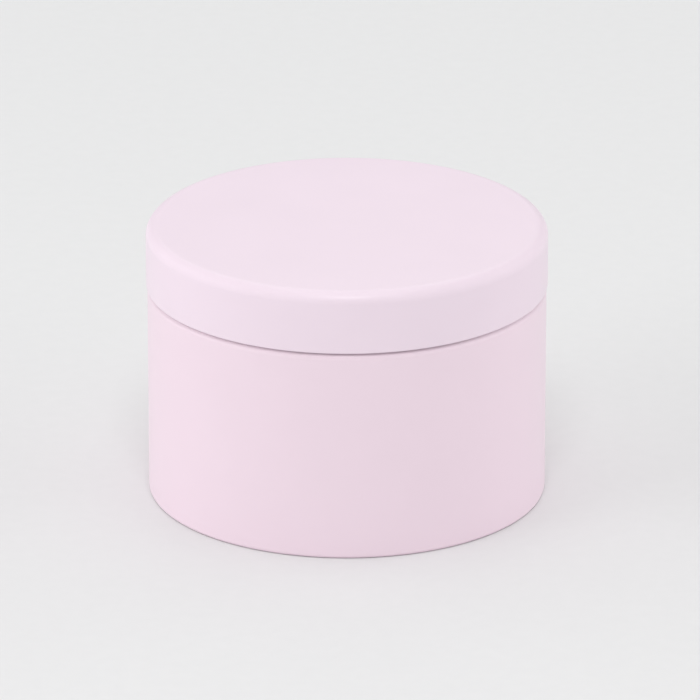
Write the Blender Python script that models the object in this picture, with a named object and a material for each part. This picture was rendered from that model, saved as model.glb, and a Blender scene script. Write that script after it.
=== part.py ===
"""Round slip-lid candle tin: a seamless drawn body and a seamless drawn lid, both pressed from tinplate.

Run it with: blender --background --python part.py

Units are metres and +Z is up. The origin is the centre of the tin's footprint, on the surface that it stands
on. Each piece is one sheet: its outside face is drawn as a half section, turned round the Z axis, and given
the sheet's thickness towards the inside.
"""

import math

import bmesh
import bpy
from mathutils import Vector

# Driving dimensions
LID_RADIUS = 0.0400
BODY_RADIUS = 0.03975
HEIGHT = 0.05575
LID_EDGE_HEIGHT = 0.0432  # height of the closed lid's lower edge
SHEET = 0.00025

# Body
FOOT_WIDTH = 0.0030  # flat ring that the tin stands on
FOOT_CORNER_RADIUS = 0.0007
BASE_RECESS = 0.0012  # how far the base panel is pressed up
SHOULDER_START = 0.04165  # height at which the side starts to turn in
SHOULDER_RADIUS = 0.0016
SHOULDER_TURN = 65
NECK_STEP = 0.0019  # from the body's side in to the neck
NECK_FILLET_RADIUS = 0.0005
CURL_RADIUS = 0.00075  # outside of the rolled rim
CURL_TURN = 285
RIM_BELOW_PANEL = 0.0006  # the rolled rim meets the lid's rounded corner before it can reach the panel

# Lid
LID_CORNER_RADIUS = 0.00235
HEM_RADIUS = 0.0003  # outside of the hem's bend
HEM_LENGTH = 0.0013  # straight part of the hem, inside the skirt

# Fineness
SEGMENTS = 72
CHORD_ERROR = 0.00002  # furthest that a chord of an arc lies from the arc
MERGE_DISTANCE = 1e-6

PINK = (0.863, 0.722, 0.791, 1.0)
ROUGHNESS = 0.42


def clear_scene():
    for obj in list(bpy.data.objects):
        bpy.data.objects.remove(obj)


def satin_coating():
    material = bpy.data.materials.new("pink_coating")
    material.use_nodes = True
    shader = material.node_tree.nodes["Principled BSDF"]
    shader.inputs["Base Color"].default_value = PINK
    shader.inputs["Roughness"].default_value = ROUGHNESS
    shader.inputs["Metallic"].default_value = 0.0
    return material


def arc(centre, radius, start, end):
    """Points (r, z) on an arc round centre, from one angle to another in degrees, both ends included."""
    longest_step = 2 * math.degrees(math.acos(1 - CHORD_ERROR / radius))
    steps = math.ceil(abs(end - start) / longest_step)
    angles = [math.radians(start + (end - start) * i / steps) for i in range(steps + 1)]
    return [(centre[0] + radius * math.cos(a), centre[1] + radius * math.sin(a)) for a in angles]


def shoulder(neck_radius):
    """The rounded step from the body's side to its neck: it turns in, slopes up and turns upright again."""
    turn = math.radians(SHOULDER_TURN)
    slope_start_radius = BODY_RADIUS - SHOULDER_RADIUS * (1 - math.cos(turn))
    slope_start_height = SHOULDER_START + SHOULDER_RADIUS * math.sin(turn)
    slope_end_radius = neck_radius + NECK_FILLET_RADIUS * (1 - math.cos(turn))
    climb = (slope_start_radius - slope_end_radius) / math.tan(turn)
    fillet_height = slope_start_height + climb + NECK_FILLET_RADIUS * math.sin(turn)
    return [
        *arc((BODY_RADIUS - SHOULDER_RADIUS, SHOULDER_START), SHOULDER_RADIUS, 0, SHOULDER_TURN),
        *arc((neck_radius + NECK_FILLET_RADIUS, fillet_height), NECK_FILLET_RADIUS, 180 + SHOULDER_TURN, 180),
    ]


def body_outside():
    """Half section of the body's outside, from the centre of its underside to the end of the rolled rim."""
    foot_outer = BODY_RADIUS - FOOT_CORNER_RADIUS
    foot_inner = foot_outer - FOOT_WIDTH
    step_radius = BASE_RECESS / 2
    neck_radius = BODY_RADIUS - NECK_STEP
    curl_inside = CURL_RADIUS - SHEET
    rim_top = HEIGHT - SHEET - RIM_BELOW_PANEL
    curl_centre = (neck_radius + curl_inside, rim_top - CURL_RADIUS)
    return [
        (0.0, BASE_RECESS),
        *arc((foot_inner - 2 * step_radius, step_radius), step_radius, 90, 0),
        *arc((foot_inner, step_radius), step_radius, 180, 270)[1:],
        *arc((foot_outer, FOOT_CORNER_RADIUS), FOOT_CORNER_RADIUS, -90, 0),
        *shoulder(neck_radius),
        *arc(curl_centre, curl_inside, 180, 180 - CURL_TURN),
    ]


def lid_outside():
    """Half section of the lid's outside, from the top of the hem inside the skirt to the panel's centre."""
    hem_centre = (LID_RADIUS - HEM_RADIUS, LID_EDGE_HEIGHT + HEM_RADIUS)
    corner_centre = (LID_RADIUS - LID_CORNER_RADIUS, HEIGHT - LID_CORNER_RADIUS)
    return [
        (hem_centre[0] - HEM_RADIUS, hem_centre[1] + HEM_LENGTH),
        *arc(hem_centre, HEM_RADIUS, -180, 0),
        *arc(corner_centre, LID_CORNER_RADIUS, 0, 90),
        (0.0, HEIGHT),
    ]


def turned_sheet(name, outside, material):
    """A sheet-metal piece: the half section outside, turned round the Z axis and thickened inwards."""
    shape = bmesh.new()
    points = [shape.verts.new((r, 0.0, z)) for r, z in outside]
    edges = [shape.edges.new(pair) for pair in zip(points, points[1:])]
    bmesh.ops.spin(
        shape,
        geom=points + edges,
        cent=Vector(),
        axis=Vector((0, 0, 1)),
        dvec=Vector(),
        angle=-math.tau,  # this way round, the faces point out
        steps=SEGMENTS,
        use_merge=True,
    )
    bmesh.ops.remove_doubles(shape, verts=shape.verts, dist=MERGE_DISTANCE)
    mesh = bpy.data.meshes.new(name)
    shape.to_mesh(mesh)
    shape.free()
    mesh.shade_smooth()
    piece = bpy.data.objects.new(name, mesh)
    piece.data.materials.append(material)
    bpy.context.scene.collection.objects.link(piece)
    thickness = piece.modifiers.new("Sheet", "SOLIDIFY")
    thickness.thickness = SHEET
    thickness.offset = -1
    thickness.use_even_offset = True
    return piece


def main():
    clear_scene()
    coating = satin_coating()
    turned_sheet("tin_body", body_outside(), coating)
    turned_sheet("lid", lid_outside(), coating)


main()
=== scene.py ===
"""Looks of the round slip-lid candle tin: finely turned sheets, pink enamel outside and tinplate inside."""

import math

import bmesh
import bpy
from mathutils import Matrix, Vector


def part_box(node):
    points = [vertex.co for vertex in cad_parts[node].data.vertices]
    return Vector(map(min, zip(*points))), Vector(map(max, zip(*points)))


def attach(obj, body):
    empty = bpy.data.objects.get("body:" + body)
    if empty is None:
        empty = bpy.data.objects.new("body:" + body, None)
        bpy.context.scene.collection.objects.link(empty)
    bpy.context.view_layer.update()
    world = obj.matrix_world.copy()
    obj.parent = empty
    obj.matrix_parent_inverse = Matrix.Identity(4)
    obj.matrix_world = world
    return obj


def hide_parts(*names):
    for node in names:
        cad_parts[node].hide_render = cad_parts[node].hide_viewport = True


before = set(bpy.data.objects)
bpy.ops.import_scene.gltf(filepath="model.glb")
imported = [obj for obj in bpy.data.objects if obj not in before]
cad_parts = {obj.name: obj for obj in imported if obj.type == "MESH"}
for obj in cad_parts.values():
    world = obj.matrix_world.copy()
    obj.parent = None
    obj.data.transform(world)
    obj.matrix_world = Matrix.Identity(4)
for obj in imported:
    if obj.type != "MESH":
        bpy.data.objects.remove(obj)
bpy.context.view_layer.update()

# Sizes that the two sheets share with the CAD model. Heights and outer radii are read from its boxes.
MM = 0.001
SHEET = 0.25 * MM
FOOT_WIDTH = 3.0 * MM
FOOT_CORNER_RADIUS = 0.7 * MM
BASE_RECESS = 1.2 * MM
SHOULDER_BELOW_LID = 1.55 * MM  # from the lid's edge down to where the side starts to turn in
SHOULDER_RADIUS = 1.6 * MM
SHOULDER_TURN = 65
NECK_STEP = 1.9 * MM  # from the body's side in to the neck
NECK_FILLET_RADIUS = 0.5 * MM
CURL_RADIUS = 0.75 * MM
CURL_TURN = 285
LID_CORNER_RADIUS = 2.35 * MM
HEM_RADIUS = 0.3 * MM
HEM_LENGTH = 1.3 * MM

# Fineness of the turned surfaces
SEGMENTS = 192
CHORD_ERROR = 0.003 * MM
MERGE_DISTANCE = 0.001 * MM

# Camera
ELEVATION = 21.2
DISTANCE = 1.6
LENS = 411.6
AIM_HEIGHT = 0.027
CAMERA_RIGHT = 0.61 * MM
CAMERA_UP = 1.52 * MM

# Soft boxes. A ring of low ones lights the sides evenly without showing in the coating. The key, at the front
# left, is doubled. Three high ones do show, and make the highlight on the lid's corner.
LIGHT_DISTANCE = 2.0
LOW_POWER = 4.5
LOW_ELEVATION = 20
LOW_WIDTH = 1.0
LOW_BOXES = (-120, -90, -60, 60, 90, 120)  # degrees round from the front to the right
KEY = -60
HIGH_POWER = 4.0
FRONT_TOP = (0, 55, 0.6)  # degrees round, degrees up, width
OVERHEAD = (0, 90, 1.2)
BACK_TOP = (180, 45, 1.5)
SURROUNDINGS = 0.5

# Floor
FLOOR_SIDE = 8.0
FLOOR_GAP = 0.02 * MM  # below the tin's standing ring, so that no two faces lie in one plane
FLOOR_DULL = (0.777, 0.779, 0.782, 1.0)
FLOOR_PALE = (0.787, 0.789, 0.792, 1.0)
FLOOR_ROUGHNESS = 0.9
FLOOR_SPECULAR = 0.2
FIBRE_SIZE = 3 * MM

# Pink coating. The lid and the body come from different batches of paint.
LID_PINK = (0.862, 0.731, 0.822)
BODY_PINK = (0.870, 0.713, 0.800)
THIN_PAINT = 1.01
THICK_PAINT = 0.99
PINK_ROUGHNESS = (0.32, 0.38)  # from the thickest patches of paint to the thinnest
PATCH_SIZE = 14 * MM
PEEL_SIZE = 1.3 * MM
PEEL_DEPTH = 0.004 * MM
GRAIN_SIZE = 0.22 * MM
GRAIN_DEPTH = 0.0015 * MM

# Tinplate
TIN_BRIGHT = (0.90, 0.89, 0.87, 1.0)
TIN_DULL = (0.87, 0.86, 0.84, 1.0)
TIN_METALLIC = 0.6  # the rest is the light that the lacquer scatters
TIN_ROUGHNESS = (0.34, 0.42)
LACQUER = 0.3
LACQUER_ROUGHNESS = 0.15
DRAW_MARK_TURN = 0.012  # width of a draw mark, in radians round the axis
DRAW_MARK_STRETCH = 0.4  # the smaller this is, the further a mark runs up the wall
ROLLING_GRAIN_SIZE = 0.35 * MM
ROLLING_GRAIN_STRETCH = 0.02
STAIN_SIZE = 6 * MM
MARK_DEPTH = 0.0005 * MM
FLAT_ENOUGH = 0.7  # faces whose normals have more than this along Z take the rolling grain


# Turned sheets


def arc(centre, radius, start, end):
    """Points (r, z) on an arc round centre, from one angle to another in degrees, both ends included."""
    longest_step = 2 * math.degrees(math.acos(1 - CHORD_ERROR / radius))
    steps = math.ceil(abs(end - start) / longest_step)
    angles = [math.radians(start + (end - start) * i / steps) for i in range(steps + 1)]
    return [(centre[0] + radius * math.cos(a), centre[1] + radius * math.sin(a)) for a in angles]


def shoulder(body_radius, neck_radius, start):
    """The rounded step from the body's side to its neck: it turns in, slopes up and turns upright again."""
    turn = math.radians(SHOULDER_TURN)
    slope_start_radius = body_radius - SHOULDER_RADIUS * (1 - math.cos(turn))
    slope_start_height = start + SHOULDER_RADIUS * math.sin(turn)
    slope_end_radius = neck_radius + NECK_FILLET_RADIUS * (1 - math.cos(turn))
    climb = (slope_start_radius - slope_end_radius) / math.tan(turn)
    fillet_height = slope_start_height + climb + NECK_FILLET_RADIUS * math.sin(turn)
    return [
        *arc((body_radius - SHOULDER_RADIUS, start), SHOULDER_RADIUS, 0, SHOULDER_TURN),
        *arc((neck_radius + NECK_FILLET_RADIUS, fillet_height), NECK_FILLET_RADIUS, 180 + SHOULDER_TURN, 180),
    ]


def body_outside():
    """Half section of the body's outside, from the centre of its underside to the end of the rolled rim."""
    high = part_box("tin_body")[1]
    body_radius = high.x
    rim_top = high.z
    shoulder_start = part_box("lid")[0].z - SHOULDER_BELOW_LID
    foot_outer = body_radius - FOOT_CORNER_RADIUS
    foot_inner = foot_outer - FOOT_WIDTH
    step_radius = BASE_RECESS / 2
    neck_radius = body_radius - NECK_STEP
    curl_inside = CURL_RADIUS - SHEET
    curl_centre = (neck_radius + curl_inside, rim_top - CURL_RADIUS)
    return [
        (0.0, BASE_RECESS),
        *arc((foot_inner - 2 * step_radius, step_radius), step_radius, 90, 0),
        *arc((foot_inner, step_radius), step_radius, 180, 270)[1:],
        *arc((foot_outer, FOOT_CORNER_RADIUS), FOOT_CORNER_RADIUS, -90, 0),
        *shoulder(body_radius, neck_radius, shoulder_start),
        *arc(curl_centre, curl_inside, 180, 180 - CURL_TURN),
    ]


def lid_outside():
    """Half section of the lid's outside, from the top of the hem inside the skirt to the panel's centre."""
    low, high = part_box("lid")
    hem_centre = (high.x - HEM_RADIUS, low.z + HEM_RADIUS)
    corner_centre = (high.x - LID_CORNER_RADIUS, high.z - LID_CORNER_RADIUS)
    return [
        (hem_centre[0] - HEM_RADIUS, hem_centre[1] + HEM_LENGTH),
        *arc(hem_centre, HEM_RADIUS, -180, 0),
        *arc(corner_centre, LID_CORNER_RADIUS, 0, 90),
        (0.0, high.z),
    ]


def turned_sheet(name, outside, coating, bare_metal):
    """A sheet-metal piece: the half section outside, turned round the Z axis and thickened inwards.

    The outside face takes the coating. The inside face and the cut edges stay bare metal.
    """
    shape = bmesh.new()
    points = [shape.verts.new((r, 0.0, z)) for r, z in outside]
    edges = [shape.edges.new(pair) for pair in zip(points, points[1:])]
    bmesh.ops.spin(
        shape,
        geom=points + edges,
        cent=Vector(),
        axis=Vector((0, 0, 1)),
        dvec=Vector(),
        angle=-math.tau,
        steps=SEGMENTS,
        use_merge=True,
    )
    bmesh.ops.remove_doubles(shape, verts=shape.verts, dist=MERGE_DISTANCE)
    mesh = bpy.data.meshes.new(name)
    shape.to_mesh(mesh)
    shape.free()
    mesh.shade_smooth()
    mesh.materials.append(coating)
    mesh.materials.append(bare_metal)
    piece = bpy.data.objects.new(name, mesh)
    bpy.context.scene.collection.objects.link(piece)
    thickness = piece.modifiers.new("Sheet", "SOLIDIFY")
    thickness.thickness = SHEET
    thickness.offset = -1
    thickness.use_even_offset = True
    thickness.material_offset = 1
    thickness.material_offset_rim = 1
    normals = piece.modifiers.new("Flat faces stay flat", "WEIGHTED_NORMAL")
    normals.weight = 100
    return piece


# Materials


class Nodes:
    """Short calls for building one material's node tree."""

    def __init__(self, name):
        self.material = bpy.data.materials.new(name)
        self.material.use_nodes = True
        self.tree = self.material.node_tree
        self.shader = self.tree.nodes["Principled BSDF"]

    def add(self, kind, **settings):
        node = self.tree.nodes.new(kind)
        for key, value in settings.items():
            setattr(node, key, value)
        return node

    def join(self, output, socket):
        self.tree.links.new(output, socket)

    def feed(self, socket, value):
        """Link socket to value if that is another node's output, or set it to value."""
        if isinstance(value, bpy.types.NodeSocket):
            self.join(value, socket)
        else:
            socket.default_value = value

    def own_position(self):
        """Where a point is on the piece, in metres, whatever the piece's pose."""
        return self.add("ShaderNodeTexCoord").outputs["Object"]

    def noise(self, vector, size, detail=2.0, roughness=0.5):
        """Noise from about 0.25 to 0.75 whose patches are about size across."""
        node = self.add("ShaderNodeTexNoise")
        self.join(vector, node.inputs["Vector"])
        node.inputs["Scale"].default_value = 1 / size
        node.inputs["Detail"].default_value = detail
        node.inputs["Roughness"].default_value = roughness
        return node.outputs["Fac"]

    def math(self, operation, *values):
        node = self.add("ShaderNodeMath", operation=operation)
        for socket, value in zip(node.inputs, values):
            self.feed(socket, value)
        return node.outputs[0]

    def spread(self, value, low, high, start=0.3, end=0.7):
        """value's stretch from start to end, moved to low to high."""
        node = self.add("ShaderNodeMapRange")
        for key, number in (("From Min", start), ("From Max", end), ("To Min", low), ("To Max", high)):
            node.inputs[key].default_value = number
        self.join(value, node.inputs["Value"])
        return node.outputs["Result"]

    def mix(self, kind, factor, first, second):
        """first where factor is 0 and second where it is 1; kind is "FLOAT" or "RGBA"."""
        node = self.add("ShaderNodeMix", data_type=kind)
        self.join(factor, node.inputs["Factor"])
        socket_type = {"FLOAT": "VALUE", "RGBA": "RGBA"}[kind]
        for name, value in (("A", first), ("B", second)):
            socket = next(s for s in node.inputs if s.name == name and s.type == socket_type)
            self.feed(socket, value)
        return next(s for s in node.outputs if s.type == socket_type)

    def blend(self, factor, first, second):
        return self.mix("FLOAT", factor, first, second)

    def tint(self, factor, first, second):
        return self.mix("RGBA", factor, first, second)

    def bump(self, height, depth, below=None):
        """Normals of a surface whose height, from 0 to 1, is depth metres, laid over another such surface."""
        node = self.add("ShaderNodeBump")
        node.inputs["Strength"].default_value = 1.0
        node.inputs["Distance"].default_value = depth
        self.join(height, node.inputs["Height"])
        if below is not None:
            self.join(below, node.inputs["Normal"])
        return node.outputs["Normal"]


def pink_coating(name, pink):
    """Baked satin enamel: a soft orange peel, a fine grain and faint patches where it lies thinner."""
    nodes = Nodes(name)
    place = nodes.own_position()
    patches = nodes.noise(place, PATCH_SIZE, detail=3.0)
    grain = nodes.noise(place, GRAIN_SIZE, detail=2.0)
    peel = nodes.noise(place, PEEL_SIZE, detail=1.0)
    thick = (*(THICK_PAINT * channel for channel in pink), 1.0)
    thin = (*(THIN_PAINT * channel for channel in pink), 1.0)
    shade = nodes.math("ADD", nodes.spread(patches, 0.2, 0.8), nodes.spread(grain, -0.12, 0.12))
    nodes.join(nodes.tint(shade, thick, thin), nodes.shader.inputs["Base Color"])
    roughness = nodes.math("ADD", nodes.spread(patches, *PINK_ROUGHNESS), nodes.spread(grain, -0.03, 0.03))
    nodes.join(roughness, nodes.shader.inputs["Roughness"])
    nodes.shader.inputs["Specular IOR Level"].default_value = 0.5
    surface = nodes.bump(peel, PEEL_DEPTH)
    surface = nodes.bump(grain, GRAIN_DEPTH, below=surface)
    nodes.join(surface, nodes.shader.inputs["Normal"])
    return nodes.material


def bare_tinplate():
    """Lacquered tinplate: draw marks run up the walls, and the rolling grain runs across flat panels."""
    nodes = Nodes("bare_tinplate")
    place = nodes.own_position()
    split = nodes.add("ShaderNodeSeparateXYZ")
    nodes.join(place, split.inputs[0])
    across = nodes.math("MULTIPLY", split.outputs["X"], split.outputs["X"])
    along = nodes.math("MULTIPLY", split.outputs["Y"], split.outputs["Y"])
    radius = nodes.math("SQRT", nodes.math("ADD", across, along))
    round_wall = nodes.add("ShaderNodeCombineXYZ")
    nodes.join(nodes.math("DIVIDE", split.outputs["X"], radius), round_wall.inputs["X"])
    nodes.join(nodes.math("DIVIDE", split.outputs["Y"], radius), round_wall.inputs["Y"])
    nodes.join(nodes.math("MULTIPLY", split.outputs["Z"], DRAW_MARK_STRETCH), round_wall.inputs["Z"])
    rolled = nodes.add("ShaderNodeCombineXYZ")
    nodes.join(split.outputs["X"], rolled.inputs["X"])
    nodes.join(nodes.math("MULTIPLY", split.outputs["Y"], ROLLING_GRAIN_STRETCH), rolled.inputs["Y"])
    draw_marks = nodes.noise(round_wall.outputs[0], DRAW_MARK_TURN, detail=3.0)
    rolling_grain = nodes.noise(rolled.outputs[0], ROLLING_GRAIN_SIZE, detail=3.0)
    facing = nodes.add("ShaderNodeSeparateXYZ")
    nodes.join(nodes.add("ShaderNodeTexCoord").outputs["Normal"], facing.inputs[0])
    flat = nodes.math("GREATER_THAN", nodes.math("ABSOLUTE", facing.outputs["Z"]), FLAT_ENOUGH)
    marks = nodes.blend(flat, draw_marks, rolling_grain)
    stains = nodes.noise(place, STAIN_SIZE, detail=4.0, roughness=0.6)
    metal = nodes.tint(nodes.spread(marks, 0.0, 1.0), TIN_DULL, TIN_BRIGHT)
    nodes.join(metal, nodes.shader.inputs["Base Color"])
    nodes.shader.inputs["Metallic"].default_value = TIN_METALLIC
    roughness = nodes.math("ADD", nodes.spread(marks, *TIN_ROUGHNESS), nodes.spread(stains, -0.03, 0.03))
    nodes.join(roughness, nodes.shader.inputs["Roughness"])
    nodes.join(nodes.bump(marks, MARK_DEPTH), nodes.shader.inputs["Normal"])
    nodes.shader.inputs["Coat Weight"].default_value = LACQUER
    nodes.shader.inputs["Coat Roughness"].default_value = LACQUER_ROUGHNESS
    return nodes.material


# Stage


def pale_floor():
    """A wide matt floor, a hair below the tin's standing ring."""
    mesh = bpy.data.meshes.new("floor")
    half = FLOOR_SIDE / 2
    corners = [(x, y, -FLOOR_GAP) for x, y in ((-half, -half), (half, -half), (half, half), (-half, half))]
    mesh.from_pydata(corners, [], [(0, 1, 2, 3)])
    floor = bpy.data.objects.new("floor", mesh)
    bpy.context.scene.collection.objects.link(floor)
    nodes = Nodes("pale_paper")
    fibres = nodes.noise(nodes.own_position(), FIBRE_SIZE, detail=3.0)
    paper = nodes.tint(nodes.spread(fibres, 0.0, 1.0), FLOOR_DULL, FLOOR_PALE)
    nodes.join(paper, nodes.shader.inputs["Base Color"])
    nodes.shader.inputs["Roughness"].default_value = FLOOR_ROUGHNESS
    nodes.shader.inputs["Specular IOR Level"].default_value = FLOOR_SPECULAR
    mesh.materials.append(nodes.material)


def soft_box(name, round_from_front, up, width, power, mirrored):
    """A square area light that faces the tin. One that isn't mirrored lights it without a highlight."""
    azimuth = math.radians(round_from_front)
    height = math.radians(up)
    level = math.cos(height)
    away = Vector((math.sin(azimuth) * level, -math.cos(azimuth) * level, math.sin(height)))
    light = bpy.data.lights.new(name, "AREA")
    light.shape = "SQUARE"
    light.size = width
    light.energy = power
    lamp = bpy.data.objects.new(name, light)
    bpy.context.scene.collection.objects.link(lamp)
    lamp.location = Vector((0, 0, AIM_HEIGHT)) + away * LIGHT_DISTANCE
    lamp.rotation_euler = away.to_track_quat("Z", "Y").to_euler()
    lamp.visible_glossy = mirrored


def white_room():
    world = bpy.data.worlds.new("white_room")
    world.use_nodes = True
    background = world.node_tree.nodes["Background"]
    background.inputs["Color"].default_value = (1.0, 1.0, 1.0, 1.0)
    background.inputs["Strength"].default_value = SURROUNDINGS
    bpy.context.scene.world = world


def light_the_scene():
    white_room()
    for azimuth in LOW_BOXES:
        power = 2 * LOW_POWER if azimuth == KEY else LOW_POWER
        soft_box(f"low_box_{azimuth}", azimuth, LOW_ELEVATION, LOW_WIDTH, power, mirrored=False)
    soft_box("front_top", *FRONT_TOP, 2 * HIGH_POWER, mirrored=True)
    soft_box("overhead", *OVERHEAD, HIGH_POWER, mirrored=True)
    soft_box("back_top", *BACK_TOP, HIGH_POWER, mirrored=True)
    bpy.context.scene.view_settings.view_transform = "Standard"


def place_camera():
    """Looks along +Y from above the front, with a long lens."""
    tilt = math.radians(ELEVATION)
    back = Vector((0, -math.cos(tilt), math.sin(tilt)))
    up = Vector((0, math.sin(tilt), math.cos(tilt)))
    right = Vector((1, 0, 0))
    lens = bpy.data.cameras.new("camera")
    lens.lens = LENS
    lens.clip_start = 0.1
    lens.clip_end = 20.0
    camera = bpy.data.objects.new("camera", lens)
    camera.location = Vector((0, 0, AIM_HEIGHT)) + back * DISTANCE + right * CAMERA_RIGHT + up * CAMERA_UP
    camera.rotation_euler = (-back).to_track_quat("-Z", "Y").to_euler()
    bpy.context.scene.collection.objects.link(camera)
    bpy.context.scene.camera = camera


def main():
    tinplate = bare_tinplate()
    sheets = (
        ("drawn_body", body_outside(), pink_coating("pink_body", BODY_PINK), "tin", "tin_body"),
        ("drawn_lid", lid_outside(), pink_coating("pink_lid", LID_PINK), "lid", "lid"),
    )
    for name, outside, coating, body, node in sheets:
        piece = turned_sheet(name, outside, coating, tinplate)
        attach(piece, body)
        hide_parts(node)
    pale_floor()
    light_the_scene()
    place_camera()


main()
